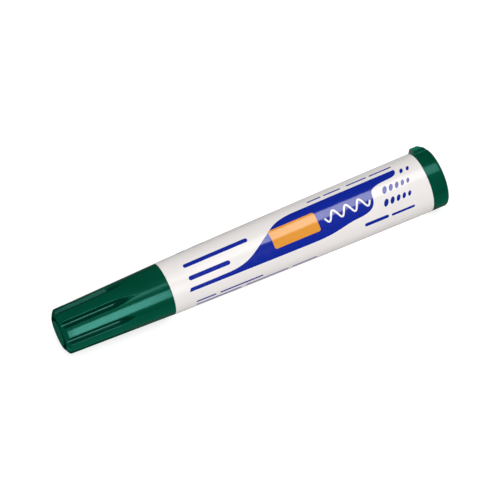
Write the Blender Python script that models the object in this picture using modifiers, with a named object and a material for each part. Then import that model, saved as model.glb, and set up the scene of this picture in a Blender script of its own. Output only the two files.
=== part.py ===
"""A large round whiteboard marker: vented pull-off cap, tapered barrel, ink reservoir, nib and end plug.

The marker lies on its side. +X runs from the cap's closed end to the end plug, and +Z is up.
The origin is on the surface that it lies on, under the middle of its length.
Named lengths are in millimetres. A name starting with U_ is a place along the axis, counted from
the cap's end face, and an outline is a list of (u, r) points: place along the axis, and radius.
"""

from math import cos, pi, radians, sin

import bmesh
import bpy

MM = 0.001
WELD = 0.00001  # metres: points closer than this are one point

# Overall
LENGTH = 137.0
GAP = 0.3  # left between pieces that touch
AXIS_HEIGHT = 10.25  # the collar of the end plug, the widest round part, touches the surface

# Cap: a tapered shell with flutes round its closed end
U_CAP_EDGE = 0.15
U_CAP_CORNER = 1.25
U_CAP_MOUTH = 37.42
CAP_TIP_R = 7.64
CAP_TAPER = 0.0326  # radius gained per millimetre of length
CAP_CHAMFER_R = 7.6
VENT_R = 5.75
CAP_BORE_R = 6.6
U_CAP_STEP = 24.0
CAP_SOCKET_R = 7.4
FLUTE_COUNT = 8
FLUTE_FIRST_ANGLE = 18.3  # degrees from straight up, towards -Y
FLUTE_DEPTH = 1.15
FLUTE_CUTTER_R = 1.5
U_FLUTE_RAMP = 18.5
U_FLUTE_POINT = 26.1

# Inner seal: a cup inside the cap that closes round the nose of the nib holder
SEAL_TIP_R = 4.25
SEAL_TIP_BORE_R = 3.4
SEAL_MOUTH_R = 5.85
SEAL_MOUTH_BORE_R = 5.1
U_SEAL_CONE = 9.0
U_SEAL_LAND = 15.6
U_SEAL_MOUTH = 22.5
SEAL_FLOOR = 1.3
SEAL_RIB_COUNT = 4
SEAL_RIB_WIDTH = 0.9

# Barrel: a tapered tube with a neck that the cap slides over
U_NECK = 26.0
U_SHOULDER = 37.72
U_BARREL_END = 130.9
NECK_R = 7.1
NECK_BORE_R = 5.9
SNAP_R = 7.3
U_SNAP = 30.0
BARREL_FRONT_R = 8.92
BARREL_REAR_R = 10.25
BARREL_BULGE = 0.185  # the side's height above a straight taper, at the middle
BARREL_STATIONS = 3  # straight lengths of the side; the marker rests on the middle one
BORE_FRONT_R = 7.75
BORE_REAR_R = 9.0
U_BORE_FRONT = 38.9
BARREL_RIB_COUNT = 6
BARREL_RIB_WIDTH = 0.8
U_BARREL_RIBS = (46.0, 120.0)

# Nib holder: the nose pressed into the neck
U_NOSE = 10.0
NOSE_TIP_R = 3.35
NOSE_LAND_R = 4.8
U_NOSE_LAND = (15.6, 22.6)
U_FLANGE = (24.5, 25.7)
FLANGE_R = 7.0
SPIGOT_R = 5.6
U_SPIGOT_END = 37.0
HOLDER_BORE_R = 2.6
HOLDER_CUP_R = 4.5
U_HOLDER_CUP = 29.0
AIR_GROOVE_COUNT = 3
AIR_GROOVE = (0.7, 2.9)  # width, and reach from the axis

# Nib and reservoir
NIB_R = 2.3
U_NIB_TIP = 6.2
U_NIB_END = 50.0
U_RESERVOIR = (39.5, 122.3)
RESERVOIR_R = 6.6
RESERVOIR_HOLE_END = 51.5
WRAP_THICKNESS = 0.25

# End plug: collar, skirt inside the barrel, and a tube that stops the reservoir
U_COLLAR = 131.2
COLLAR_EDGE = 1.0
PLUG_SKIRT_R = (7.6, 8.6)
U_SKIRT = 124.5
PLUG_STOP_R = (4.2, 5.2)
U_STOP = 122.6
U_PLUG_FLOOR = 135.6
LUG_ANGLE = -46.0  # degrees from straight up, towards -Y
LUG_WIDTH = 4.9
LUG_TOP_R = 11.4
U_LUG = (131.35, 135.1)
LUG_STEP_R = 10.95
U_LUG_BACK = 136.1

# Finish: linear colour, roughness
GREEN = (0.003, 0.070, 0.035)
WHITE = (0.80, 0.78, 0.75)
STEPS = 24  # sides of every round solid: each is wide enough for the marker to lie on without rolling


def clear_scene():
    for item in list(bpy.data.objects):
        bpy.data.objects.remove(item, do_unlink=True)


def new_collection(name):
    collection = bpy.data.collections.new(name)
    bpy.context.scene.collection.children.link(collection)
    return collection


def new_material(name, colour, roughness):
    material = bpy.data.materials.new(name)
    material.use_nodes = True
    shader = material.node_tree.nodes["Principled BSDF"]
    shader.inputs["Base Color"].default_value = (*colour, 1.0)
    shader.inputs["Roughness"].default_value = roughness
    shader.inputs["Metallic"].default_value = 0.0
    return material


def new_object(name, mesh, collection, parent):
    """An object whose +Z runs along the marker's axis from the cap's end, as its parent empty has it."""
    item = bpy.data.objects.new(name, mesh)
    collection.objects.link(item)
    item.parent = parent
    return item


def new_axis(name, collection):
    """An empty at the cap's end of the axis, turned so that its +Z runs towards the end plug."""
    axis = bpy.data.objects.new(name, None)
    axis.empty_display_size = 10 * MM
    axis.location = (-LENGTH / 2 * MM, 0, AXIS_HEIGHT * MM)
    axis.rotation_euler = (0, pi / 2, 0)
    collection.objects.link(axis)
    return axis


def turned(name, outline, closed, collection, parent):
    """A solid turned from an outline that runs along its outer side from the cap towards the plug."""
    mesh = bpy.data.meshes.new(name)
    shape = bmesh.new()
    points = [shape.verts.new((r * MM, 0, u * MM)) for u, r in reversed(outline)]
    for first, second in zip(points, points[1:]):
        shape.edges.new((first, second))
    if closed:
        shape.edges.new((points[-1], points[0]))
    shape.to_mesh(mesh)
    shape.free()
    item = new_object(name, mesh, collection, parent)
    screw = item.modifiers.new("turn", "SCREW")
    screw.axis = "Z"
    screw.steps = STEPS
    screw.render_steps = STEPS
    screw.use_merge_vertices = True
    screw.merge_threshold = WELD
    screw.use_smooth_shade = True
    return item


def fin(name, outline, width, angle, collection, parent):
    """A flat radial plate with the given outline, turned about the axis. Angle 0 is straight up."""
    mesh = bpy.data.meshes.new(name)
    shape = bmesh.new()
    points = [shape.verts.new((-r * MM, -width / 2 * MM, u * MM)) for u, r in outline]
    face = shape.faces.new(points)
    pushed = bmesh.ops.extrude_face_region(shape, geom=[face])["geom"]
    moved = [v for v in pushed if isinstance(v, bmesh.types.BMVert)]
    bmesh.ops.translate(shape, verts=moved, vec=(0, width * MM, 0))
    bmesh.ops.recalc_face_normals(shape, faces=shape.faces)
    shape.to_mesh(mesh)
    shape.free()
    item = new_object(name, mesh, collection, parent)
    item.rotation_euler = (0, 0, radians(angle))
    return item


def hide_cutter(item):
    item.hide_render = True
    item.display_type = "WIRE"


def combine(item, cutters, operation):
    """One Boolean with every object of a collection."""
    boolean = item.modifiers.new(operation.lower(), "BOOLEAN")
    boolean.operation = operation
    boolean.operand_type = "COLLECTION"
    boolean.collection = cutters
    boolean.solver = "EXACT"


def set_material(item, material):
    item.data.materials.append(material)


def cap_radius(u):
    return CAP_TIP_R + CAP_TAPER * u


def barrel_radius(u):
    t = (u - U_SHOULDER) / (U_BARREL_END - U_SHOULDER)
    straight = BARREL_FRONT_R + (BARREL_REAR_R - BARREL_FRONT_R) * t
    return straight + 4 * BARREL_BULGE * t * (1 - t)


def bore_radius(u):
    t = (u - U_BORE_FRONT) / (U_BARREL_END - U_BORE_FRONT)
    return BORE_FRONT_R + (BORE_REAR_R - BORE_FRONT_R) * t


def flute_depth(u):
    """Even along the flute, then easing out to nothing at its point."""
    s = min(max((u - U_FLUTE_RAMP) / (U_FLUTE_POINT - U_FLUTE_RAMP), 0), 1)
    return FLUTE_DEPTH * (1 - 3 * s * s + 2 * s**3)


def flute_path():
    """Centre line of the round cutter, from beyond the cap's end to where it leaves the surface."""
    outside = 0.4
    ramp = [U_FLUTE_RAMP + (U_FLUTE_POINT - U_FLUTE_RAMP) * i / 6 for i in range(6)]
    stations = [(u, flute_depth(u)) for u in [-3.0] + ramp]
    stations.append((U_FLUTE_POINT + 1.0, -outside))
    return [(u, cap_radius(u) - depth + FLUTE_CUTTER_R) for u, depth in stations]


def flute_mesh(collection):
    """A round bar along the flute's path, as a mesh that a Boolean can use."""
    curve = bpy.data.curves.new("flute", "CURVE")
    curve.dimensions = "3D"
    curve.bevel_depth = FLUTE_CUTTER_R * MM
    curve.bevel_resolution = 10
    curve.use_fill_caps = True
    path = flute_path()
    spline = curve.splines.new("POLY")
    spline.points.add(len(path) - 1)
    for point, (u, r) in zip(spline.points, path):
        point.co = (-r * MM, 0, u * MM, 1)
    bar = bpy.data.objects.new("flute", curve)
    collection.objects.link(bar)
    bpy.context.view_layer.update()
    seen = bar.evaluated_get(bpy.context.evaluated_depsgraph_get())
    mesh = bpy.data.meshes.new_from_object(seen)
    bpy.data.objects.remove(bar)
    shape = bmesh.new()
    shape.from_mesh(mesh)
    bmesh.ops.remove_doubles(shape, verts=shape.verts, dist=WELD)
    bmesh.ops.recalc_face_normals(shape, faces=shape.faces)
    shape.to_mesh(mesh)
    shape.free()
    return mesh


def make_cap_shell(parts, axis, material):
    outline = [
        (U_CAP_EDGE, VENT_R),
        (U_CAP_CORNER, CAP_CHAMFER_R),
        (U_CAP_CORNER + 0.4, cap_radius(U_CAP_CORNER + 0.4)),
        (U_CAP_MOUTH - 0.2, cap_radius(U_CAP_MOUTH)),
        (U_CAP_MOUTH, cap_radius(U_CAP_MOUTH) - 0.15),
        (U_CAP_MOUTH, CAP_SOCKET_R + 0.35),
        (U_CAP_MOUTH - 0.8, CAP_SOCKET_R),
        (U_CAP_STEP + 0.3, CAP_SOCKET_R),
        (U_CAP_STEP, CAP_BORE_R),
        (12.0, CAP_BORE_R - 0.1),
        (3.0, VENT_R),
    ]
    shell = turned("cap_shell", outline, True, parts, axis)
    flutes = new_collection("flute_cutters")
    mesh = flute_mesh(flutes)
    for i in range(FLUTE_COUNT):
        cutter = new_object(f"flute_cutter_{i + 1}", mesh, flutes, axis)
        cutter.rotation_euler = (0, 0, radians(FLUTE_FIRST_ANGLE + i * 360 / FLUTE_COUNT))
        hide_cutter(cutter)
    combine(shell, flutes, "DIFFERENCE")
    set_material(shell, material)


def make_inner_seal(parts, axis, material):
    outline = [
        (0.0, 0.0),
        (0.0, SEAL_TIP_R - 0.25),
        (0.25, SEAL_TIP_R),
        (U_SEAL_CONE, SEAL_TIP_R),
        (U_SEAL_LAND, SEAL_MOUTH_R),
        (U_SEAL_MOUTH, SEAL_MOUTH_R),
        (U_SEAL_MOUTH, SEAL_MOUTH_BORE_R),
        (U_SEAL_LAND + 0.4, SEAL_MOUTH_BORE_R),
        (U_SEAL_CONE + 0.5, SEAL_TIP_BORE_R),
        (SEAL_FLOOR, SEAL_TIP_BORE_R),
        (SEAL_FLOOR, 0.0),
    ]
    seal = turned("cap_inner_seal", outline, False, parts, axis)
    rib_outline = [
        (5.0, SEAL_TIP_R - 0.35),
        (5.0, VENT_R - 0.15),
        (12.0, CAP_BORE_R - 0.1 - GAP),
        (U_SEAL_MOUTH - 1.0, CAP_BORE_R - GAP),
        (U_SEAL_MOUTH - 1.0, SEAL_MOUTH_R - 0.35),
        (U_SEAL_LAND + 0.2, SEAL_MOUTH_R - 0.35),
        (U_SEAL_CONE + 0.2, SEAL_TIP_R - 0.35),
    ]
    ribs = new_collection("seal_ribs")
    for i in range(SEAL_RIB_COUNT):
        angle = (i + 0.5) * 360 / SEAL_RIB_COUNT
        hide_cutter(fin(f"seal_rib_{i + 1}", rib_outline, SEAL_RIB_WIDTH, angle, ribs, axis))
    combine(seal, ribs, "UNION")
    set_material(seal, material)


def make_barrel(parts, axis, material):
    outline = [
        (U_NECK, NECK_BORE_R),
        (U_NECK, NECK_R - 0.35),
        (U_NECK + 0.4, NECK_R),
        (U_SNAP - 0.6, NECK_R),
        (U_SNAP - 0.2, SNAP_R),
        (U_SNAP + 0.2, SNAP_R),
        (U_SNAP + 0.6, NECK_R),
        (U_SHOULDER, NECK_R),
        (U_SHOULDER, BARREL_FRONT_R - 0.15),
    ]
    for i in range(BARREL_STATIONS + 1):
        u = U_SHOULDER + 0.2 + (U_BARREL_END - U_SHOULDER - 0.2) * i / BARREL_STATIONS
        outline.append((u, barrel_radius(u)))
    outline += [
        (U_BARREL_END, BORE_REAR_R),
        (U_BORE_FRONT, BORE_FRONT_R),
        (U_SHOULDER - 0.2, NECK_BORE_R),
    ]
    barrel = turned("barrel", outline, True, parts, axis)
    front, back = U_BARREL_RIBS
    rib_r = RESERVOIR_R + GAP + WRAP_THICKNESS + GAP
    embed = 0.4
    rib_outline = [
        (front, rib_r),
        (front, bore_radius(front) + embed),
        (back, bore_radius(back) + embed),
        (back, rib_r),
    ]
    ribs = new_collection("barrel_ribs")
    for i in range(BARREL_RIB_COUNT):
        angle = i * 360 / BARREL_RIB_COUNT
        hide_cutter(fin(f"barrel_rib_{i + 1}", rib_outline, BARREL_RIB_WIDTH, angle, ribs, axis))
    combine(barrel, ribs, "UNION")
    set_material(barrel, material)


def make_nib_holder(parts, axis, material):
    outline = [
        (U_NOSE, HOLDER_BORE_R),
        (U_NOSE, NOSE_TIP_R - 0.3),
        (U_NOSE + 0.4, NOSE_TIP_R),
        (U_NOSE_LAND[0], NOSE_LAND_R),
        (U_NOSE_LAND[1], NOSE_LAND_R),
        (U_FLANGE[0], SPIGOT_R),
        (U_FLANGE[0], FLANGE_R - 0.3),
        (U_FLANGE[0] + 0.3, FLANGE_R),
        (U_FLANGE[1], FLANGE_R),
        (U_FLANGE[1], SPIGOT_R),
        (U_SPIGOT_END - 0.5, SPIGOT_R),
        (U_SPIGOT_END, SPIGOT_R - 0.4),
        (U_SPIGOT_END, HOLDER_CUP_R),
        (U_HOLDER_CUP, HOLDER_CUP_R),
        (U_HOLDER_CUP, HOLDER_BORE_R),
    ]
    holder = turned("nib_holder", outline, True, parts, axis)
    width, reach = AIR_GROOVE
    groove_outline = [
        (U_NOSE - 1.0, 1.0),
        (U_NOSE - 1.0, reach),
        (U_HOLDER_CUP + 1.0, reach),
        (U_HOLDER_CUP + 1.0, 1.0),
    ]
    grooves = new_collection("air_groove_cutters")
    for i in range(AIR_GROOVE_COUNT):
        angle = i * 360 / AIR_GROOVE_COUNT
        hide_cutter(fin(f"air_groove_{i + 1}", groove_outline, width, angle, grooves, axis))
    combine(holder, grooves, "DIFFERENCE")
    set_material(holder, material)


def make_nib(parts, axis, material):
    """A rod with a round tip in front and a blunt point behind."""
    turns = 5
    outline = []
    for i in range(turns + 1):
        angle = pi / 2 * i / turns
        outline.append((U_NIB_TIP + NIB_R * (1 - cos(angle)), NIB_R * sin(angle)))
    outline += [(U_NIB_END - 3.0, NIB_R), (U_NIB_END, 0.9), (U_NIB_END, 0.0)]
    nib = turned("nib", outline, False, parts, axis)
    set_material(nib, material)


def make_reservoir(parts, axis, material):
    front, back = U_RESERVOIR
    hole_r = NIB_R + GAP
    outline = [
        (RESERVOIR_HOLE_END, 0.0),
        (RESERVOIR_HOLE_END - 1.0, hole_r),
        (front, hole_r),
        (front, RESERVOIR_R),
        (back, RESERVOIR_R),
        (back, 0.0),
    ]
    reservoir = turned("ink_reservoir", outline, False, parts, axis)
    set_material(reservoir, material)


def make_reservoir_wrap(parts, axis, material):
    front, back = U_RESERVOIR
    inner = RESERVOIR_R + GAP
    outer = inner + WRAP_THICKNESS
    outline = [(front, inner), (front, outer), (back, outer), (back, inner)]
    wrap = turned("reservoir_wrap", outline, True, parts, axis)
    set_material(wrap, material)


def make_end_plug(parts, axis, material):
    stop_in, stop_out = PLUG_STOP_R
    skirt_in, skirt_out = PLUG_SKIRT_R
    outline = [
        (U_PLUG_FLOOR, 0.0),
        (U_PLUG_FLOOR, stop_in),
        (U_STOP, stop_in),
        (U_STOP, stop_out),
        (U_PLUG_FLOOR, stop_out),
        (U_PLUG_FLOOR, skirt_in),
        (U_SKIRT, skirt_in),
        (U_SKIRT, skirt_out - 0.3),
        (U_SKIRT + 0.5, skirt_out),
        (U_COLLAR, skirt_out),
        (U_COLLAR, AXIS_HEIGHT),
    ]
    turns = 4
    for i in range(turns + 1):
        angle = pi / 2 * i / turns
        u = LENGTH - COLLAR_EDGE * (1 - sin(angle))
        outline.append((u, AXIS_HEIGHT - COLLAR_EDGE * (1 - cos(angle))))
    outline.append((LENGTH, 0.0))
    plug = turned("end_plug", outline, False, parts, axis)
    front, back = U_LUG
    root_r = AXIS_HEIGHT - 0.7
    lug_outline = [
        (front, root_r),
        (front + 0.1, AXIS_HEIGHT),
        (front + 0.7, LUG_TOP_R),
        (back, LUG_TOP_R),
        (back + 0.15, LUG_STEP_R),
        (U_LUG_BACK - 0.3, LUG_STEP_R),
        (U_LUG_BACK, root_r),
    ]
    lugs = new_collection("anti_roll_lug")
    lug = fin("anti_roll_lug_body", lug_outline, LUG_WIDTH, LUG_ANGLE, lugs, axis)
    bevel = lug.modifiers.new("round", "BEVEL")
    bevel.width = 0.25 * MM
    bevel.segments = 2
    bevel.limit_method = "ANGLE"
    bevel.angle_limit = radians(60)
    hide_cutter(lug)
    combine(plug, lugs, "UNION")
    set_material(plug, material)


def main():
    clear_scene()
    parts = new_collection("whiteboard_marker")
    body_axis = new_axis("body_axis", parts)
    cap_axis = new_axis("cap_axis", parts)
    make_cap_shell(parts, cap_axis, new_material("cap_green", GREEN, 0.28))
    make_inner_seal(parts, cap_axis, new_material("seal_green", GREEN, 0.4))
    make_barrel(parts, body_axis, new_material("barrel_white", WHITE, 0.35))
    make_nib_holder(parts, body_axis, new_material("holder_white", WHITE, 0.45))
    make_nib(parts, body_axis, new_material("nib_green", (0.006, 0.11, 0.055), 0.9))
    make_reservoir(parts, body_axis, new_material("fibre", (0.03, 0.25, 0.14), 0.95))
    make_reservoir_wrap(parts, body_axis, new_material("film", (0.7, 0.72, 0.7), 0.3))
    make_end_plug(parts, body_axis, new_material("plug_green", GREEN, 0.3))
    bpy.context.view_layer.update()


main()
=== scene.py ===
from math import cos, degrees, pi, radians, sin, sqrt, tan

import bmesh
import bpy
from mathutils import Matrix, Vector
from mathutils.geometry import interpolate_bezier


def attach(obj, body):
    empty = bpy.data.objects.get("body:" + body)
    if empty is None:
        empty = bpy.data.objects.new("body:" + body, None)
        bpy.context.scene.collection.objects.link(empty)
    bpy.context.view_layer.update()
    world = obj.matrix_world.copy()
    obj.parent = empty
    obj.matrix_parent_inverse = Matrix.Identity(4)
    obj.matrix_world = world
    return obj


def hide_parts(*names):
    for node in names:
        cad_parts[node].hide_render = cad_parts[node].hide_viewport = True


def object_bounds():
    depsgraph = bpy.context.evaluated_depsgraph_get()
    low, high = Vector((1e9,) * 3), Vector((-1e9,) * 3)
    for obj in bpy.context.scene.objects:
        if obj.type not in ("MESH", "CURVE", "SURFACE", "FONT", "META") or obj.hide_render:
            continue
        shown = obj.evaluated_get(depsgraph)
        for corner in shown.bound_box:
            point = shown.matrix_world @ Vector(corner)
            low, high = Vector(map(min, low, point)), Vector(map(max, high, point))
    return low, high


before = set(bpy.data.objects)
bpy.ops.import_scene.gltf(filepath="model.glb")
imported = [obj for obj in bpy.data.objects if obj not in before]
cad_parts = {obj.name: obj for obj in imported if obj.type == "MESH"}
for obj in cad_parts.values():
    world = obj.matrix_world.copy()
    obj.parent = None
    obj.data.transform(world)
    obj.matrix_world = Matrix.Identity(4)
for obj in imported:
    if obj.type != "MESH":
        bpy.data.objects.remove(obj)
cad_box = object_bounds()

# The looks of a large round whiteboard marker that lies on its side.
# Lengths are in millimetres. u is a place along the axis, counted from the cap's end face, r is a
# distance from the axis, and an angle round the axis is in degrees from straight up, towards -Y.
MM = 0.001
END_X = cad_box[0][0]
AXIS_Z = (cad_box[0][2] + cad_box[1][2]) / 2
LENGTH = (cad_box[1][0] - cad_box[0][0]) / MM - 0.005
COLLAR_R = AXIS_Z / MM

# Cap: a tapered shell with flutes round its closed end
U_CAP_EDGE = 0.15
U_CAP_CORNER = 1.25
U_CAP_MOUTH = 37.55
U_VENT_INSIDE = 3.0
U_CAP_BORE = 12.0
U_CAP_SOCKET = 36.6
CAP_TIP_R = 7.64
CAP_TAPER = 0.0326
CAP_CHAMFER_R = 7.66
VENT_R = 5.75
CAP_BORE_R = 6.6
U_CAP_STEP = 24.0
CAP_SOCKET_R = 7.4
FLUTES = 8
FLUTE_FIRST = 18.3
FLUTE_DEPTH = 1.3
FLUTE_FLOOR_R = 0.9
FLUTE_WALL = radians(58)
U_FLUTE_RAMP = 18.5
U_FLUTE_POINT = 26.1
U_PLAIN_SIDE = 27.2  # no flute reaches this far
EDGE_BLEND = 0.12

# Inner seal: a cup inside the cap, whose closed end is the disc in the cap's vent hole
SEAL_TIP_R = 4.25
SEAL_UNDERCUT_R = 3.95
SEAL_TIP_BORE_R = 3.4
SEAL_MOUTH_R = 5.85
SEAL_MOUTH_BORE_R = 5.1
U_SEAL_CONE = 9.0
U_SEAL_LAND = 15.6
U_SEAL_MOUTH = 22.5
U_SEAL_FLOOR = 1.3
SEAL_RIB_WIDTH = 0.9
SEAL_RIB_ANGLES = (45, 135, 225, 315)

# Barrel: a tapered tube with a neck that the cap slides over
U_NECK = 26.0
U_NECK_STEP = 37.4
U_SHOULDER = 37.6
U_BORE_FRONT = 38.9
U_BARREL_END = 131.1
NECK_R = 7.1
NECK_BORE_R = 5.9
SNAP_R = 7.3
U_SNAP = (29.3, 29.8, 30.2, 30.7)
BARREL_FRONT_R = 8.92
BARREL_BULGE = 0.185
BARREL_STATIONS = 30
BORE_FRONT_R = 7.75
BORE_REAR_R = 9.0

# Nose: the holder of the nib, pressed into the neck
U_NOSE = 10.0
U_NOSE_LAND = (15.6, 22.6)
U_FLANGE = (24.5, 25.7)
U_NOSE_CUP = 29.0
U_SPIGOT_END = 37.0
NOSE_TIP_R = 3.35
NOSE_LAND_R = 4.8
NOSE_BORE_R = 2.6
NOSE_CUP_R = 4.5
FLANGE_R = 7.0
SPIGOT_R = 5.6
GROOVE_R = 2.9
GROOVE_HALF_ANGLE = 6

# Nib
U_NIB_TIP = 6.2
U_NIB_END = 50.0
NIB_R = 2.3
NIB_POINT_R = 0.9

# End plug: a collar with an anti-roll lug, and a skirt inside the barrel
U_COLLAR = 131.15
U_PLUG_FLOOR = 135.6
U_SKIRT = 124.5
SKIRT_BORE_R = 7.6
SKIRT_R = 8.6
PLUG_RECESS = 0.2
LUG_ANGLE = -46.0
LUG_TOP = 11.4
LUG_STEP = 10.95
U_LUG_STEP = 135.0
LUG_HALF_WIDTH = 2.15
LUG_STEEP = 4.0  # slope of its sides
LUG_FRONT = (131.3, 1.9)  # where its front starts, and the slope
LUG_BACK = (136.5, 1.8)
LUG_BLEND = 0.22
LUG_SECTOR = 22  # degrees to each side of it with close columns
COLLAR_ROWS = 56


# ---------------------------------------------------------------- shapes


def at(u, r, angle):
    """The point of the frame at a place along the axis, a radius and an angle."""
    a = radians(angle)
    return Vector((END_X + u * MM, -r * MM * sin(a), AXIS_Z + r * MM * cos(a)))


def rounded(corners, closed, segments=5):
    """An outline with its corners rounded. A corner is (u, r, radius of its round)."""
    points = []
    count = len(corners)
    for i, (u, r, size) in enumerate(corners):
        here = Vector((u, r))
        if size == 0 or (not closed and i in (0, count - 1)):
            points.append((u, r))
            continue
        back = Vector(corners[i - 1][:2]) - here
        ahead = Vector(corners[(i + 1) % count][:2]) - here
        half = back.angle(ahead) / 2
        reach = min(size / tan(half), 0.48 * back.length, 0.48 * ahead.length)
        start = here + back.normalized() * reach
        end = here + ahead.normalized() * reach
        centre = here + (back.normalized() + ahead.normalized()).normalized() * (reach / cos(half))
        radius = (start - centre).length
        hold = 0.3 * reach
        if back.length > 3 * reach:
            points.append(tuple(start + back.normalized() * hold))
        for k in range(segments + 1):
            between = start.lerp(end, k / segments) - centre
            points.append(tuple(centre + between.normalized() * radius))
        if ahead.length > 3 * reach:
            points.append(tuple(end + ahead.normalized() * hold))
    return points


def grid_solid(name, rings, closed):
    """A solid through rings of points. Open rows end in a point on the axis at either end."""
    shape = bmesh.new()
    rows = [[shape.verts.new(p) for p in ring] for ring in rings]
    pairs = list(zip(rows, rows[1:]))
    if closed:
        pairs.append((rows[-1], rows[0]))
    for low, high in pairs:
        count = max(len(low), len(high))
        for i in range(count):
            j = (i + 1) % count
            quad = [low[i % len(low)], low[j % len(low)], high[j % len(high)], high[i % len(high)]]
            corners = [v for k, v in enumerate(quad) if v is not quad[k - 1]]
            shape.faces.new(corners)
    bmesh.ops.recalc_face_normals(shape, faces=shape.faces)
    mesh = bpy.data.meshes.new(name)
    shape.to_mesh(mesh)
    shape.free()
    mesh.shade_smooth()
    item = bpy.data.objects.new(name, mesh)
    bpy.context.scene.collection.objects.link(item)
    return item


def lathe(name, corners, closed, columns=192, relief=None):
    """A turned solid with rounded corners. The relief changes the radius round the axis."""
    angles = [360 * i / columns for i in range(columns)]
    rings = []
    for u, r in rounded(corners, closed):
        if r < 1e-6:
            rings.append([at(u, 0, 0)])
        elif relief:
            rings.append([at(u, relief(r, a), a) for a in angles])
        else:
            rings.append([at(u, r, a) for a in angles])
    return grid_solid(name, rings, closed)


def smooth_min(a, b, blend):
    """The lower of two heights, with a round where they meet."""
    h = max(blend - abs(a - b), 0) / blend
    return min(a, b) - h * h * blend / 4


def smooth_max(a, b, blend):
    return -smooth_min(-a, -b, blend)


def cap_radius(u):
    return CAP_TIP_R + CAP_TAPER * u


def flute_depth(u):
    s = min(max((u - U_FLUTE_RAMP) / (U_FLUTE_POINT - U_FLUTE_RAMP), 0), 1)
    return FLUTE_DEPTH * (1 - 3 * s * s + 2 * s**3)


def flute_floor(u, off):
    """Radius of the flute at an angle off its middle: a round floor, then straight walls."""
    out = cap_radius(u) * abs(radians(off))
    wall_starts = FLUTE_FLOOR_R * sin(FLUTE_WALL)
    if out < wall_starts:
        rise = FLUTE_FLOOR_R - sqrt(FLUTE_FLOOR_R**2 - out**2)
    else:
        rise = FLUTE_FLOOR_R * (1 - cos(FLUTE_WALL)) + (out - wall_starts) * tan(FLUTE_WALL)
    return cap_radius(u) - flute_depth(u) + rise


def flute_half_angle(u, r):
    """Where the flute's side meets a surface of radius r."""
    depth = r - cap_radius(u) + flute_depth(u)
    if depth <= 0:
        return 0.0
    floor_rise = FLUTE_FLOOR_R * (1 - cos(FLUTE_WALL))
    if depth < floor_rise:
        out = sqrt(FLUTE_FLOOR_R**2 - (FLUTE_FLOOR_R - depth) ** 2)
    else:
        out = FLUTE_FLOOR_R * sin(FLUTE_WALL) + (depth - floor_rise) / tan(FLUTE_WALL)
    return degrees(out / cap_radius(u))


# Columns to one side of a flute's middle, as angles. They are drawn in or out along the cap, so that
# the one at COLUMN_EDGE follows the flute's edge.
COLUMN_OFFS = (0, 0.9, 1.8, 2.7, 3.6, 4.5, 5.4, 7.0, 8.4, 9.0, 9.4, 9.8, 10.3, 11.2, 13, 16, 19)
COLUMN_EDGE = 9.4
NARROWEST = 0.5
SPREAD_LENGTH = 8  # beyond the flutes' points the columns spread out again over this length
SECTOR = 360 / FLUTES / 2

# Rows along the cap's side, close together where the flutes run out
CAP_ROWS = [2.2 + 2.0 * k for k in range(8)]
CAP_ROWS += [17.6 + 0.2 * k for k in range(45)]
CAP_ROWS += [27.4 + 2.0 * k for k in range(5)]
CHAMFER_ROWS = 14


def cap_offs(half):
    """Column angles of one flute's sector, drawn in or out so that they follow the flute's edges."""
    half = max(half, NARROWEST)
    side = []
    for off in COLUMN_OFFS:
        if off <= COLUMN_EDGE:
            side.append(off * half / COLUMN_EDGE)
        else:
            spread = (SECTOR - half) / (SECTOR - COLUMN_EDGE)
            side.append(half + (off - COLUMN_EDGE) * spread)
    return [-SECTOR] + [-a for a in reversed(side[1:])] + side


def cap_outline():
    """The cap from its vent hole over its outside to its socket, with rows for the flutes."""
    mouth_r = cap_radius(U_CAP_MOUTH)
    corners = rounded(
        [
            (U_VENT_INSIDE, VENT_R, 0),
            (U_CAP_EDGE, VENT_R, 0.08),
            (U_CAP_CORNER, CAP_CHAMFER_R, 0.45),
            (U_CAP_MOUTH, mouth_r, 0.14),
            (U_CAP_MOUTH, CAP_SOCKET_R + 0.4, 0.1),
            (U_CAP_SOCKET, CAP_SOCKET_R, 0.2),
        ],
        closed=False,
        segments=6,
    )
    outline = []
    for (u, r), (v, q) in zip(corners, corners[1:]):
        outline.append((u, r))
        side = v - u > 10
        chamfer = q - r > 0.8
        if side:
            outline += [(s, cap_radius(s)) for s in CAP_ROWS]
        elif chamfer:
            for k in range(1, CHAMFER_ROWS):
                outline.append((u + (v - u) * k / CHAMFER_ROWS, r + (q - r) * k / CHAMFER_ROWS))
    outline.append(corners[-1])
    return outline


def make_cap_shell():
    rows = []
    for u, r in cap_outline():
        fluted = 0 < u < U_PLAIN_SIDE and r > VENT_R + 0.15
        rows.append((u, r, fluted))
    rows.append((U_CAP_STEP + 0.4, CAP_SOCKET_R, False))
    rows.append((U_CAP_STEP, CAP_BORE_R, False))
    rows.append((U_CAP_BORE, CAP_BORE_R - 0.1, False))
    rings = []
    for u, r, fluted in rows:
        half = flute_half_angle(u, r) if fluted else 0.0
        if u > U_FLUTE_POINT:
            half = COLUMN_EDGE * min((u - U_FLUTE_POINT) / SPREAD_LENGTH, 1)
        ring = []
        for k in range(FLUTES):
            for off in cap_offs(half):
                radius = smooth_min(r, flute_floor(u, off), EDGE_BLEND) if fluted else r
                ring.append(at(u, radius, FLUTE_FIRST + k * 360 / FLUTES + off))
        rings.append(ring)
    return grid_solid("cap_body", rings, closed=True)


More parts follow.
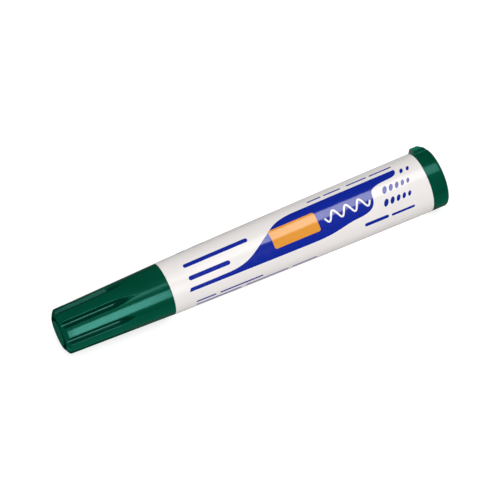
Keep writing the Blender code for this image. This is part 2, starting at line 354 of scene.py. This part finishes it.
def add_fin(item, outline, width, angle):
    """Adds a flat rib in the plane of the axis to a solid. The outline is (u, r) points."""
    shape = bmesh.new()
    shape.from_mesh(item.data)
    a = radians(angle)
    half = Vector((0, cos(a), sin(a))) * width * MM / 2
    sides = []
    for offset in (-half, half):
        sides.append([shape.verts.new(at(u, r, angle) + offset) for u, r in outline])
    low, high = sides
    faces = [shape.faces.new(low), shape.faces.new(list(reversed(high)))]
    for i in range(len(outline)):
        faces.append(shape.faces.new([low[i - 1], low[i], high[i], high[i - 1]]))
    bmesh.ops.recalc_face_normals(shape, faces=faces)
    shape.to_mesh(item.data)
    shape.free()


def make_seal():
    cup = lathe(
        "cap_seal_cup",
        [
            (0.0, 0.0, 0),
            (0.0, SEAL_TIP_R, 0.1),
            (0.2, SEAL_TIP_R, 0.05),
            (0.4, SEAL_UNDERCUT_R, 0.05),
            (3.0, SEAL_UNDERCUT_R, 0.2),
            (3.4, SEAL_TIP_R, 0.2),
            (U_SEAL_CONE, SEAL_TIP_R, 1.0),
            (U_SEAL_LAND, SEAL_MOUTH_R, 1.0),
            (U_SEAL_MOUTH, SEAL_MOUTH_R, 0.2),
            (U_SEAL_MOUTH, SEAL_MOUTH_BORE_R, 0.2),
            (U_SEAL_LAND + 0.4, SEAL_MOUTH_BORE_R, 0.5),
            (U_SEAL_CONE + 0.5, SEAL_TIP_BORE_R, 0.5),
            (U_SEAL_FLOOR, SEAL_TIP_BORE_R, 0.5),
            (U_SEAL_FLOOR, 0.0, 0),
        ],
        closed=False,
        columns=128,
    )
    rib = [(5.0, 4.0), (5.0, 5.6), (12.0, 6.2), (21.5, 6.3), (21.5, 5.5), (15.8, 5.5), (9.2, 3.9)]
    for angle in SEAL_RIB_ANGLES:
        add_fin(cup, rib, SEAL_RIB_WIDTH, angle)
    return cup


def barrel_radius(u):
    t = (u - U_SHOULDER) / (U_BARREL_END - U_SHOULDER)
    return BARREL_FRONT_R + (COLLAR_R - BARREL_FRONT_R) * t + 4 * BARREL_BULGE * t * (1 - t)


def make_barrel():
    corners = [
        (U_NECK, NECK_BORE_R, 0.1),
        (U_NECK, NECK_R, 0.35),
        (U_SNAP[0], NECK_R, 0.3),
        (U_SNAP[1], SNAP_R, 0.2),
        (U_SNAP[2], SNAP_R, 0.2),
        (U_SNAP[3], NECK_R, 0.3),
        (U_SHOULDER, NECK_R, 0.25),
        (U_SHOULDER, BARREL_FRONT_R, 0.16),
    ]
    for i in range(1, BARREL_STATIONS):
        u = U_SHOULDER + (U_BARREL_END - U_SHOULDER) * i / BARREL_STATIONS
        corners.append((u, barrel_radius(u), 0))
    corners += [
        (U_BARREL_END, COLLAR_R, 0.12),
        (U_BARREL_END, BORE_REAR_R, 0.1),
        (U_BORE_FRONT, BORE_FRONT_R, 0.4),
        (U_NECK_STEP, NECK_BORE_R, 0.4),
    ]
    return lathe("barrel_tube", corners, closed=True, columns=256)


def lug_radius(u, angle):
    """Height of the anti-roll lug: a low block with sloping sides and a step down at its back."""
    a = radians(angle - LUG_ANGLE)
    if abs(a) > radians(25):
        return 0.0
    s = min(max((u - U_LUG_STEP) / 0.3, 0), 1)
    top = LUG_TOP + (LUG_STEP - LUG_TOP) * s * s * (3 - 2 * s)
    height = top / cos(a)
    flank = (top + LUG_STEEP * LUG_HALF_WIDTH) / (cos(a) + LUG_STEEP * abs(sin(a)))
    front = COLLAR_R - 0.2 + (u - LUG_FRONT[0]) * LUG_FRONT[1]
    back = COLLAR_R - 0.3 + (LUG_BACK[0] - u) * LUG_BACK[1]
    across = smooth_min(height, flank, LUG_BLEND)
    along = smooth_min(front, back, LUG_BLEND)
    return max(smooth_min(across, along, LUG_BLEND), 0.0)


def make_plug():
    outline = rounded(
        [
            (U_COLLAR, SKIRT_R, 0),
            (U_COLLAR, COLLAR_R, 0.12),
            (LENGTH, COLLAR_R, 1.0),
            (LENGTH, 6.9, 0.1),
            (LENGTH - PLUG_RECESS, 6.7, 0.1),
            (LENGTH - PLUG_RECESS, 0.0, 0),
        ],
        closed=False,
        segments=8,
    )
    skirt = [(U_PLUG_FLOOR, 0.0), (U_PLUG_FLOOR, SKIRT_BORE_R), (U_SKIRT, SKIRT_BORE_R)]
    skirt += [(U_SKIRT, SKIRT_R - 0.3), (U_SKIRT + 0.5, SKIRT_R)]
    rows = []
    for (u, r), (v, _) in zip(outline, outline[1:]):
        rows.append((u, r))
        collar_side = v - u > 2
        if collar_side:
            rows += [(u + (v - u) * k / COLLAR_ROWS, r) for k in range(1, COLLAR_ROWS)]
    rows.append(outline[-1])
    angles = [LUG_ANGLE + LUG_SECTOR * (k / 80 - 1) for k in range(160)]
    rest = 360 - 2 * LUG_SECTOR
    angles += [LUG_ANGLE + LUG_SECTOR + rest * k / 170 for k in range(170)]
    rings = []
    for u, r in skirt + rows:
        if r < 1e-6:
            rings.append([at(u, 0, 0)])
            continue
        on_collar = u > 131.0 and r > SKIRT_R + 0.4
        ring = []
        for a in angles:
            radius = smooth_max(r, lug_radius(u, a), 0.2) if on_collar else r
            ring.append(at(u, radius, a))
        rings.append(ring)
    return grid_solid("plug_body", rings, closed=False)


def air_grooves(r, angle):
    """The nose's bore, with three grooves that let air past the nib."""
    off = abs((angle + 60) % 120 - 60)
    if r < GROOVE_R and off < GROOVE_HALF_ANGLE:
        return GROOVE_R + 0.3 * (r - NOSE_BORE_R)
    return r


def make_nib_holder():
    return lathe(
        "nose",
        [
            (U_NOSE, NOSE_BORE_R, 0.1),
            (U_NOSE, NOSE_TIP_R, 0.3),
            (U_NOSE_LAND[0], NOSE_LAND_R, 1.2),
            (U_NOSE_LAND[1], NOSE_LAND_R, 0.3),
            (U_FLANGE[0], SPIGOT_R, 0.3),
            (U_FLANGE[0], FLANGE_R, 0.3),
            (U_FLANGE[1], FLANGE_R, 0.1),
            (U_FLANGE[1], SPIGOT_R, 0.1),
            (U_SPIGOT_END, SPIGOT_R, 0.3),
            (U_SPIGOT_END, NOSE_CUP_R, 0.1),
            (U_NOSE_CUP, NOSE_CUP_R, 0.1),
            (U_NOSE_CUP, NOSE_BORE_R, 0.1),
        ],
        closed=True,
        columns=144,
        relief=air_grooves,
    )


def make_nib():
    return lathe(
        "nib_rod",
        [
            (U_NIB_TIP, 0.0, 0),
            (U_NIB_TIP, NIB_POINT_R, 0.8),
            (7.2, 2.0, 1.6),
            (8.8, NIB_R, 1.6),
            (47.0, NIB_R, 0.5),
            (U_NIB_END, NIB_POINT_R, 0.3),
            (U_NIB_END, 0.0, 0),
        ],
        closed=False,
        columns=64,
    )


# ---------------------------------------------------------------- print


PRINT_LIFT = 0.012  # height of one layer of ink
PRINT_ROOT = 0.03  # how far the ink reaches into the barrel
PRINT_STEP_U = 3.0
PRINT_STEP_ANGLE = 1.5

# Plain bars: first and last u, angle, height
BARS = (
    (44.3, 67.3, 2.0, 1.45),
    (44.3, 59.0, 30.5, 1.45),
    (91.2, 96.2, -24.8, 0.62),
    (97.2, 103.4, -24.8, 0.62),
    (105.6, 113.0, -24.8, 0.62),
    (114.0, 122.2, -24.8, 0.62),
    (105.8, 114.6, 67.5, 1.25),
    (115.6, 124.2, 68.5, 0.9),
    (44.8, 51.8, 89.0, 0.7),
    (53.2, 68.6, 89.0, 0.7),
    (44.8, 61.0, 102.0, 0.7),
    (62.4, 77.8, 102.0, 0.7),
    (79.2, 88.2, 102.0, 0.7),
    (45.4, 48.4, -50.0, 0.7),
    (51.0, 55.0, -50.0, 0.7),
    (45.4, 55.0, -62.0, 0.7),
)

# Rows of dots that get smaller: u of the first, angle, how many, steps down in size of the first
DOT_ROWS = ((124.2, -5, 2, 3), (116.0, 17.7, 5, 0), (114.9, 41, 5, 0))
DOT_WIDTH = 1.65
DOT_HEIGHT = 2.4
DOT_STEP_DOWN = 0.08
BLOCK = (74.5, 91.0, 23.0, 6.6, 0.7)  # first and last u, angle, height, radius of its corners

# The wavy stroke
WAVE_START = 93.5
WAVE_LENGTH = 16.5
WAVE_ANGLE = 24
WAVE_SWING = 9  # degrees to each side
WAVE_COUNT = 3.5
WAVE_HALF_WIDTH = 0.32


def printed(name, outlines, level):
    """Ink on the barrel: thin solids that follow its surface. An outline is (u, angle) points."""
    shape = bmesh.new()
    for outline in outlines:
        part = bmesh.new()
        part.faces.new([part.verts.new((u, a, 0)) for u, a in outline])
        low_u, high_u = min(u for u, a in outline), max(u for u, a in outline)
        low_a, high_a = min(a for u, a in outline), max(a for u, a in outline)
        cuts = [((0, a, 0), (0, 1, 0)) for a in steps_between(low_a, high_a, PRINT_STEP_ANGLE)]
        cuts += [((u, 0, 0), (1, 0, 0)) for u in steps_between(low_u, high_u, PRINT_STEP_U)]
        for place, normal in cuts:
            everything = part.verts[:] + part.edges[:] + part.faces[:]
            bmesh.ops.bisect_plane(part, geom=everything, plane_co=place, plane_no=normal, dist=1e-5)
        bmesh.ops.triangulate(part, faces=part.faces)
        flat = [v.co.copy() for v in part.verts]
        faces = [[v.index for v in f.verts] for f in part.faces]
        rims = [[v.index for v in e.verts] for e in part.edges if e.is_boundary]
        part.free()
        lift = PRINT_LIFT * level
        top = [shape.verts.new(at(p.x, barrel_radius(p.x) + lift, p.y)) for p in flat]
        root = [shape.verts.new(at(p.x, barrel_radius(p.x) - PRINT_ROOT, p.y)) for p in flat]
        for face in faces:
            shape.faces.new([top[i] for i in face])
            shape.faces.new([root[i] for i in reversed(face)])
        for i, j in rims:
            shape.faces.new([top[i], top[j], root[j], root[i]])
    bmesh.ops.recalc_face_normals(shape, faces=shape.faces)
    mesh = bpy.data.meshes.new(name)
    shape.to_mesh(mesh)
    shape.free()
    mesh.shade_smooth()
    mesh.set_sharp_from_angle(angle=radians(40))
    item = bpy.data.objects.new(name, mesh)
    bpy.context.scene.collection.objects.link(item)
    return item


def steps_between(low, high, step):
    """Multiples of the step that lie between two numbers."""
    first = int(low // step) + 1
    last = int(high // step)
    return [k * step for k in range(first, last + 1) if low < k * step < high]


def turn_of(length, u):
    """The angle that a length round the barrel takes up."""
    return degrees(length / barrel_radius(u))


def oval(u, angle, width, height, lean=0.4, points=28):
    """An oval that leans: its upper end, towards smaller angles, is further along the axis."""
    outline = []
    for k in range(points):
        t = 2 * pi * k / points
        up = -height / 2 * sin(t)
        outline.append((u + width / 2 * cos(t) + lean * up, angle - turn_of(up, u)))
    return outline


def bar(first, last, angle, height, ends=7):
    """A bar along the axis with round ends."""
    middle = (first + last) / 2
    tall = turn_of(height, middle) / 2
    r = height / 2
    right = [pi / 2 - pi * k / ends for k in range(ends + 1)]
    outline = [(last - r + r * cos(t), angle + tall * sin(t)) for t in right]
    outline += [(first + r - r * cos(t), angle - tall * sin(t)) for t in right]
    return outline


def block(first, last, angle, height, corner, steps=6):
    """A rectangle with small round corners."""
    middle = (first + last) / 2
    outline = []
    for k, (u, up) in enumerate(((last, 1), (last, -1), (first, -1), (first, 1))):
        centre_u = u + (corner if u == first else -corner)
        centre_up = up * (height / 2 - corner)
        for i in range(steps + 1):
            t = pi / 2 * (1 - k - i / steps)
            side = centre_up + corner * sin(t)
            outline.append((centre_u + corner * cos(t), angle + turn_of(side, middle)))
    return outline


def bow(a, handle_a, handle_b, b, count=14):
    """Points along a Bezier curve, without its last one."""
    ends = [Vector((*p, 0)) for p in (a, handle_a, handle_b, b)]
    return [(p.x, p.y) for p in interpolate_bezier(*ends, count)][:-1]


def sweep_band():
    """The band that sweeps from low at the front to high at the back."""
    outline = [(43.2, 57.5), (43.9, 49.5), (52.0, 49.5)]
    outline += bow((58.0, 49.0), (65.0, 48.0), (68.0, 30.0), (73.0, 12.0))
    outline += bow((73.0, 12.0), (76.0, 1.0), (78.0, -14.5), (86.0, -14.5))
    outline += [(100.0, -14.5), (122.3, -14.5)]
    outline += bow((122.3, -14.5), (122.4, -3.0), (121.5, 0.5), (118.0, 1.0), 8)
    outline += bow((118.0, 1.0), (114.0, 2.0), (112.0, 5.0), (111.5, 14.0), 8)
    outline += bow((111.5, 14.0), (111.0, 30.0), (111.5, 47.0), (104.0, 48.5))
    outline += bow((104.0, 48.5), (99.0, 50.0), (97.0, 59.5), (88.0, 59.8))
    outline += [(88.0, 59.8), (70.0, 59.0)]
    return outline


def wave_line():
    """A plain wavy stroke."""
    top, low = [], []
    count = 80
    for k in range(count + 1):
        t = k / count
        u = WAVE_START + WAVE_LENGTH * t
        middle = WAVE_ANGLE + WAVE_SWING * sin(2 * pi * WAVE_COUNT * t)
        slope = WAVE_SWING * 2 * pi * WAVE_COUNT / WAVE_LENGTH * cos(2 * pi * WAVE_COUNT * t)
        run = Vector((1.0, radians(slope) * barrel_radius(u)))
        side = Vector((-run.y, run.x)).normalized() * WAVE_HALF_WIDTH
        top.append((u + side.x, middle + turn_of(side.y, u)))
        low.append((u - side.x, middle - turn_of(side.y, u)))
    return top + list(reversed(low))


def make_print():
    """Each print's solid and its ink. Level 2 lies on top of level 1."""
    dots = []
    for first, angle, count, largest in DOT_ROWS:
        for k in range(count):
            small = 1 - DOT_STEP_DOWN * (k + largest)
            u = first + (2.35 - 0.05 * k) * k
            dots.append(oval(u, angle, DOT_WIDTH * small, DOT_HEIGHT * small))
    return {
        "print_band": (printed("print_band", [sweep_band()], 1), "blue"),
        "print_bars": (printed("print_bars", [bar(*row) for row in BARS], 1), "blue"),
        "print_dots": (printed("print_dots", dots, 1), "blue"),
        "print_block": (printed("print_block", [block(*BLOCK)], 2), "orange"),
        "print_wave": (printed("print_wave", [wave_line()], 2), "white"),
    }


# ---------------------------------------------------------------- materials


class Nodes:
    """A material's node tree, with short calls for the nodes used here."""

    def __init__(self, name):
        self.material = bpy.data.materials.new(name)
        self.material.use_nodes = True
        self.tree = self.material.node_tree
        self.shader = self.tree.nodes["Principled BSDF"]
        self.place = self.tree.nodes.new("ShaderNodeTexCoord").outputs["Object"]

    def link(self, source, target):
        self.tree.links.new(source, target)

    def scaled(self, scale):
        mapping = self.tree.nodes.new("ShaderNodeMapping")
        mapping.inputs["Scale"].default_value = scale
        self.link(self.place, mapping.inputs["Vector"])
        return mapping.outputs["Vector"]

    def noise(self, scale, detail=2.0, roughness=0.5):
        """Noise whose size is set by scale, features per metre along X, Y and Z."""
        node = self.tree.nodes.new("ShaderNodeTexNoise")
        node.inputs["Scale"].default_value = 1.0
        node.inputs["Detail"].default_value = detail
        node.inputs["Roughness"].default_value = roughness
        self.link(self.scaled(scale), node.inputs["Vector"])
        return node.outputs["Fac"]

    def ramp(self, source, low, high, from_low=0.35, from_high=0.65):
        node = self.tree.nodes.new("ShaderNodeMapRange")
        node.inputs["From Min"].default_value = from_low
        node.inputs["From Max"].default_value = from_high
        node.inputs["To Min"].default_value = low
        node.inputs["To Max"].default_value = high
        self.link(source, node.inputs["Value"])
        return node.outputs["Result"]

    def mix(self, factor, a, b):
        node = self.tree.nodes.new("ShaderNodeMix")
        node.data_type = "RGBA"
        self.link(factor, node.inputs["Factor"])
        for socket, colour in ((node.inputs["A"], a), (node.inputs["B"], b)):
            if isinstance(colour, tuple):
                socket.default_value = (*colour, 1.0)
            else:
                self.link(colour, socket)
        return node.outputs["Result"]

    def math(self, operation, a, b):
        node = self.tree.nodes.new("ShaderNodeMath")
        node.operation = operation
        for socket, value in zip(node.inputs, (a, b)):
            if isinstance(value, float):
                socket.default_value = value
            else:
                self.link(value, socket)
        return node.outputs["Value"]

    def bump(self, height, distance, strength=1.0):
        node = self.tree.nodes.new("ShaderNodeBump")
        node.inputs["Strength"].default_value = strength
        node.inputs["Distance"].default_value = distance
        self.link(height, node.inputs["Height"])
        self.link(node.outputs["Normal"], self.shader.inputs["Normal"])

    def set(self, **values):
        for key, value in values.items():
            self.shader.inputs[key.replace("_", " ")].default_value = value


def flute_shade_mask(n):
    """Where painted shade darkens the cap: 0 on its outside, 1 down in its flutes."""
    across = n.tree.nodes.new("ShaderNodeMapping")
    across.inputs["Location"].default_value = (0, 0, -AXIS_Z)
    across.inputs["Scale"].default_value = (0, 1, 1)
    n.link(n.place, across.inputs["Vector"])
    radius = n.tree.nodes.new("ShaderNodeVectorMath")
    radius.operation = "LENGTH"
    n.link(across.outputs["Vector"], radius.inputs[0])
    split = n.tree.nodes.new("ShaderNodeSeparateXYZ")
    n.link(n.place, split.inputs["Vector"])
    along = n.math("SUBTRACT", split.outputs["X"], END_X)
    outside = n.math("ADD", n.math("MULTIPLY", along, CAP_TAPER), CAP_TIP_R * MM)
    sunk = n.ramp(n.math("SUBTRACT", outside, radius.outputs["Value"]), 0.0, 1.0, 0.05 * MM, 0.4 * MM)
    starts = n.ramp(along, 0.0, 1.0, 1.1 * MM, 1.5 * MM)
    stops = n.ramp(along, 1.0, 0.0, 26.0 * MM, 28.0 * MM)
    return n.math("MULTIPLY", sunk, n.math("MULTIPLY", starts, stops))


def moulded_plastic(name, dark, light, rough, peel=0.000004, tint=(1, 1, 1), painted_flute_shade=None):
    """Injection-moulded plastic: cloudy colour, orange-peel skin, fine rub marks along the axis."""
    n = Nodes(name)
    cloud = n.noise((90, 220, 220), 3.0)
    colour = n.mix(n.ramp(cloud, 0.0, 1.0), dark, light)
    # Painted shade: the colour turns darker down in the cap's flutes.
    if painted_flute_shade:
        colour = n.mix(flute_shade_mask(n), colour, painted_flute_shade)
    n.link(colour, n.shader.inputs["Base Color"])
    skin = n.noise((1400, 1400, 1400), 3.0, 0.6)
    rubs = n.noise((160, 5200, 5200), 2.0, 0.6)
    wear = n.math("ADD", n.ramp(skin, rough - 0.02, rough + 0.02), n.ramp(rubs, -0.01, 0.05, 0.5, 0.8))
    n.link(wear, n.shader.inputs["Roughness"])
    height = n.math("ADD", skin, n.math("MULTIPLY", rubs, 0.25))
    n.bump(height, peel)
    n.set(IOR=1.5, Specular_Tint=(*tint, 1.0))
    return n.material


def ink(name, colour, thin, rough):
    """Screen-printed ink: nearly even, with a faint mottle where the film is thin."""
    n = Nodes(name)
    mottle = n.noise((2600, 2600, 2600), 2.0)
    n.link(n.mix(n.ramp(mottle, 0.0, 1.0, 0.55, 0.85), colour, thin), n.shader.inputs["Base Color"])
    film = n.noise((900, 900, 900), 2.0)
    n.link(n.ramp(film, rough - 0.03, rough + 0.04), n.shader.inputs["Roughness"])
    n.bump(film, 0.000003)
    n.set(IOR=1.6)
    return n.material


def fibre(name, dark, light, along=260, across=5200):
    """Bonded fibre: fine strands along the axis."""
    n = Nodes(name)
    strands = n.noise((along, across, across), 3.0, 0.7)
    n.link(n.mix(n.ramp(strands, 0.0, 1.0), dark, light), n.shader.inputs["Base Color"])
    n.link(n.ramp(strands, 0.75, 0.95), n.shader.inputs["Roughness"])
    n.bump(strands, 0.00006)
    n.set(Sheen_Weight=0.2, Sheen_Roughness=0.5)
    return n.material


def film_material(name):
    """Thin wrinkled film."""
    n = Nodes(name)
    wrinkle = n.noise((300, 900, 900), 2.0)
    colour = n.mix(n.ramp(wrinkle, 0.0, 1.0), (0.62, 0.66, 0.62), (0.74, 0.77, 0.74))
    n.link(colour, n.shader.inputs["Base Color"])
    n.link(n.ramp(wrinkle, 0.12, 0.25), n.shader.inputs["Roughness"])
    n.bump(wrinkle, 0.00008)
    return n.material


def floor_material():
    """Matt paper with a glow of its own, so that it comes out white except in shadow."""
    n = Nodes("pale_floor")
    grain = n.noise((60, 60, 60), 2.0)
    colour = n.mix(n.ramp(grain, 0.0, 1.0), (0.59, 0.59, 0.59), (0.60, 0.60, 0.60))
    n.link(colour, n.shader.inputs["Base Color"])
    n.set(Roughness=0.9, Specular_IOR_Level=0.0)
    n.set(Emission_Color=(1.0, 1.0, 1.0, 1.0), Emission_Strength=FLOOR_GLOW)
    return n.material


def dress(item, material):
    item.data.materials.clear()
    item.data.materials.append(material)


# ---------------------------------------------------------------- the marker


def place(item, body, slot, material, *nodes):
    """A new piece: what it rides on, the material it is dressed in and which CAD solids it stands for.
    The slot is not used.
    """
    dress(item, material)
    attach(item, body)
    if nodes:
        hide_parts(*nodes)


def build_marker():
    deep, pale = (0.0, 0.055, 0.028), (0.0005, 0.063, 0.0335)
    sheen = (0.25, 1.0, 0.88)
    green = moulded_plastic("green_plastic", deep, pale, 0.16, tint=sheen)
    # Painted shade: the darker green that is painted down in the cap's flutes.
    painted_flute_shade = (0.0, 0.028, 0.015)
    cap_green = moulded_plastic("cap_plastic", deep, pale, 0.16, tint=sheen, painted_flute_shade=painted_flute_shade)
    seal_deep, seal_pale = (0.0, 0.1, 0.056), (0.001, 0.11, 0.063)
    seal_green = moulded_plastic("seal_plastic", seal_deep, seal_pale, 0.32, tint=sheen)
    white = moulded_plastic("white_plastic", (0.802, 0.767, 0.753), (0.822, 0.787, 0.773), 0.22)
    holder_white = moulded_plastic("holder_plastic", (0.74, 0.74, 0.72), (0.78, 0.78, 0.76), 0.36)
    inks = {
        "blue": ink("ink_blue", (0.004, 0.018, 0.30), (0.007, 0.024, 0.33), 0.12),
        "white": ink("ink_white", (0.82, 0.8, 0.8), (0.78, 0.76, 0.78), 0.24),
        "orange": ink("ink_orange", (0.74, 0.29, 0.02), (0.76, 0.31, 0.03), 0.16),
    }
    place(make_cap_shell(), "cap", "cap_plastic", cap_green, "cap_shell")
    place(make_seal(), "cap", "seal_plastic", seal_green, "cap_inner_seal")
    place(make_barrel(), "marker_body", "barrel_plastic", white, "barrel")
    place(make_plug(), "marker_body", "plug_plastic", green, "end_plug")
    place(make_nib_holder(), "marker_body", "holder_plastic", holder_white, "nib_holder")
    nib_look = fibre("nib_fibre", (0.001, 0.035, 0.018), (0.004, 0.09, 0.05))
    place(make_nib(), "marker_body", "nib_fibre", nib_look, "nib")
    for item, colour in make_print().values():
        place(item, "marker_body", "barrel_plastic", inks[colour])
    soaked = fibre("reservoir_fibre", (0.01, 0.14, 0.07), (0.03, 0.26, 0.15))
    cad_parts["ink_reservoir"].material_slots[0].material = soaked
    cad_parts["reservoir_wrap"].material_slots[0].material = film_material("wrap_film")


# ---------------------------------------------------------------- the studio


SOFTBOX_DISTANCE = 0.6  # metres from the marker's axis
CARD_HEIGHT = 0.0005
FLOOR_GLOW = 0.62
SHADING_GLOW = 0.6  # the world as diffuse surfaces see it
GLOSS_GLOW = 0.01  # the world as glossy surfaces see it
KEY_ANGLE = 25
PLAIN = (1.0, 1.0, 1.0)
GREEN = (0.08, 1.0, 0.7)

# Softboxes: name, first and last X, angle round the axis, width as an angle, radiance
SOFTBOXES = (
    ("front_softbox", -0.02, 0.062, 56.6, 32, 7.5),
    ("top_softbox_small", 0.018, 0.042, 16.0, 16, 4.0),
    ("top_softbox_faint", 0.042, 0.12, 14.0, 9, 2.0),
    ("top_softbox", 0.12, 0.246, 1.0, 32, 5.0),
    ("top_softbox_end", 0.246, 0.36, 1.0, 32, 2.0),
)

# Cards seen in the gloss: name, first and last X, near and far Y, radiance, colour
CARDS = (
    ("front_card", -0.075, -0.048, -0.004, -0.0125, 0.3, GREEN),
    ("front_card_faint", -0.048, 0.35, -0.004, -0.0125, 0.1, PLAIN),
    ("cap_card", -0.07, -0.026, -0.0125, -0.06, 0.3, GREEN),
    ("plug_card", 0.066, 0.09, -0.0125, -0.06, 0.3, GREEN),
    ("back_card_near", -0.06, 0.4, 0.008, 0.026, 0.7, PLAIN),
    ("back_card", 0.02, 0.07, 0.026, 0.06, 0.4, PLAIN),
    ("lug_card", 0.07, 0.09, 0.026, 0.06, 0.35, GREEN),
    ("back_card_faint", -0.055, 0.02, 0.026, 0.06, 0.06, PLAIN),
)


def add_floor():
    bpy.ops.mesh.primitive_plane_add(size=6.0, location=(0, 0, 0))
    floor = bpy.context.object
    floor.name = "floor"
    dress(floor, floor_material())
    floor.visible_glossy = False
    floor.visible_diffuse = False


def add_softbox(name, first_x, last_x, angle, spread, radiance):
    """A soft light that runs beside the axis and shows only in the gloss."""
    a = radians(angle)
    direction = Vector((0, -sin(a), cos(a)))
    light = bpy.data.lights.new(name, "AREA")
    light.shape = "RECTANGLE"
    light.size = last_x - first_x
    light.size_y = 2 * SOFTBOX_DISTANCE * tan(radians(spread / 2))
    light.energy = radiance * pi * light.size * light.size_y
    item = bpy.data.objects.new(name, light)
    item.location = Vector(((first_x + last_x) / 2, 0, AXIS_Z)) + direction * SOFTBOX_DISTANCE
    item.rotation_euler = (a, 0, 0)
    item.visible_diffuse = False
    bpy.context.scene.collection.objects.link(item)


def add_fill(name, place, target, size, radiance):
    """A wide light that shades the marker but doesn't show in its gloss."""
    light = bpy.data.lights.new(name, "AREA")
    light.shape = "SQUARE"
    light.size = size
    light.energy = radiance * pi * size**2
    item = bpy.data.objects.new(name, light)
    item.location = place
    item.rotation_euler = (place - target).to_track_quat("Z", "Y").to_euler()
    item.visible_glossy = False
    bpy.context.scene.collection.objects.link(item)


def add_card(name, first_x, last_x, near_y, far_y, radiance, colour, in_gloss=True):
    """A bright card that lies beside the marker. It either shows in the gloss or lights the marker."""
    light = bpy.data.lights.new(name, "AREA")
    light.shape = "RECTANGLE"
    light.size = last_x - first_x
    light.size_y = abs(far_y - near_y)
    light.energy = radiance * pi * light.size * light.size_y
    light.color = colour
    item = bpy.data.objects.new(name, light)
    item.location = ((first_x + last_x) / 2, (near_y + far_y) / 2, CARD_HEIGHT)
    item.rotation_euler = (pi, 0, 0)
    item.visible_diffuse = not in_gloss
    item.visible_glossy = in_gloss
    bpy.context.scene.collection.objects.link(item)


def add_studio():
    """An even glow all round, a key light, and softboxes and cards for the gloss."""
    world = bpy.data.worlds.new("studio")
    world.use_nodes = True
    glow = world.node_tree.nodes["Background"]
    glow.inputs["Color"].default_value = (1.0, 1.0, 1.0, 1.0)
    ray = world.node_tree.nodes.new("ShaderNodeLightPath")
    shading = world.node_tree.nodes.new("ShaderNodeMapRange")
    shading.inputs["To Min"].default_value = SHADING_GLOW
    shading.inputs["To Max"].default_value = GLOSS_GLOW
    strength = world.node_tree.nodes.new("ShaderNodeMix")
    strength.inputs["B"].default_value = 1.0
    world.node_tree.links.new(ray.outputs["Is Glossy Ray"], shading.inputs["Value"])
    world.node_tree.links.new(ray.outputs["Is Camera Ray"], strength.inputs["Factor"])
    world.node_tree.links.new(shading.outputs["Result"], strength.inputs["A"])
    world.node_tree.links.new(strength.outputs["Result"], glow.inputs["Strength"])
    bpy.context.scene.world = world
    middle = Vector((0, 0, AXIS_Z))
    direction = Vector((0, -sin(radians(KEY_ANGLE)), cos(radians(KEY_ANGLE))))
    add_fill("key", middle + direction * SOFTBOX_DISTANCE, middle, 0.5, 2.6)
    cap_end = Vector((END_X, 0, AXIS_Z))
    add_fill("end_fill", cap_end + Vector((-SOFTBOX_DISTANCE, 0, 0.1)), cap_end, 0.2, 9.0)
    for softbox in SOFTBOXES:
        add_softbox(*softbox)
    for card in CARDS:
        add_card(*card)
    add_card("low_fill", -0.2, 0.2, -0.003, -0.2, 0.33, PLAIN, in_gloss=False)
    bpy.context.scene.view_settings.view_transform = "Standard"


def add_camera():
    """The photograph's view: from above the capped end, with a long lens."""
    middle = Vector((0, 0, AXIS_Z))
    aim = middle + Vector((0.0004, 0.0008, 0.0006))
    camera = bpy.data.cameras.new("camera")
    camera.lens = 206.6
    camera.sensor_width = 36.0
    camera.clip_start = 0.01
    item = bpy.data.objects.new("camera", camera)
    item.location = middle + Vector((-0.2277, -0.4572, 0.7824))
    item.rotation_euler = (aim - item.location).to_track_quat("-Z", "Y").to_euler()
    bpy.context.scene.collection.objects.link(item)
    bpy.context.scene.camera = item


add_camera()
build_marker()
add_floor()
add_studio()
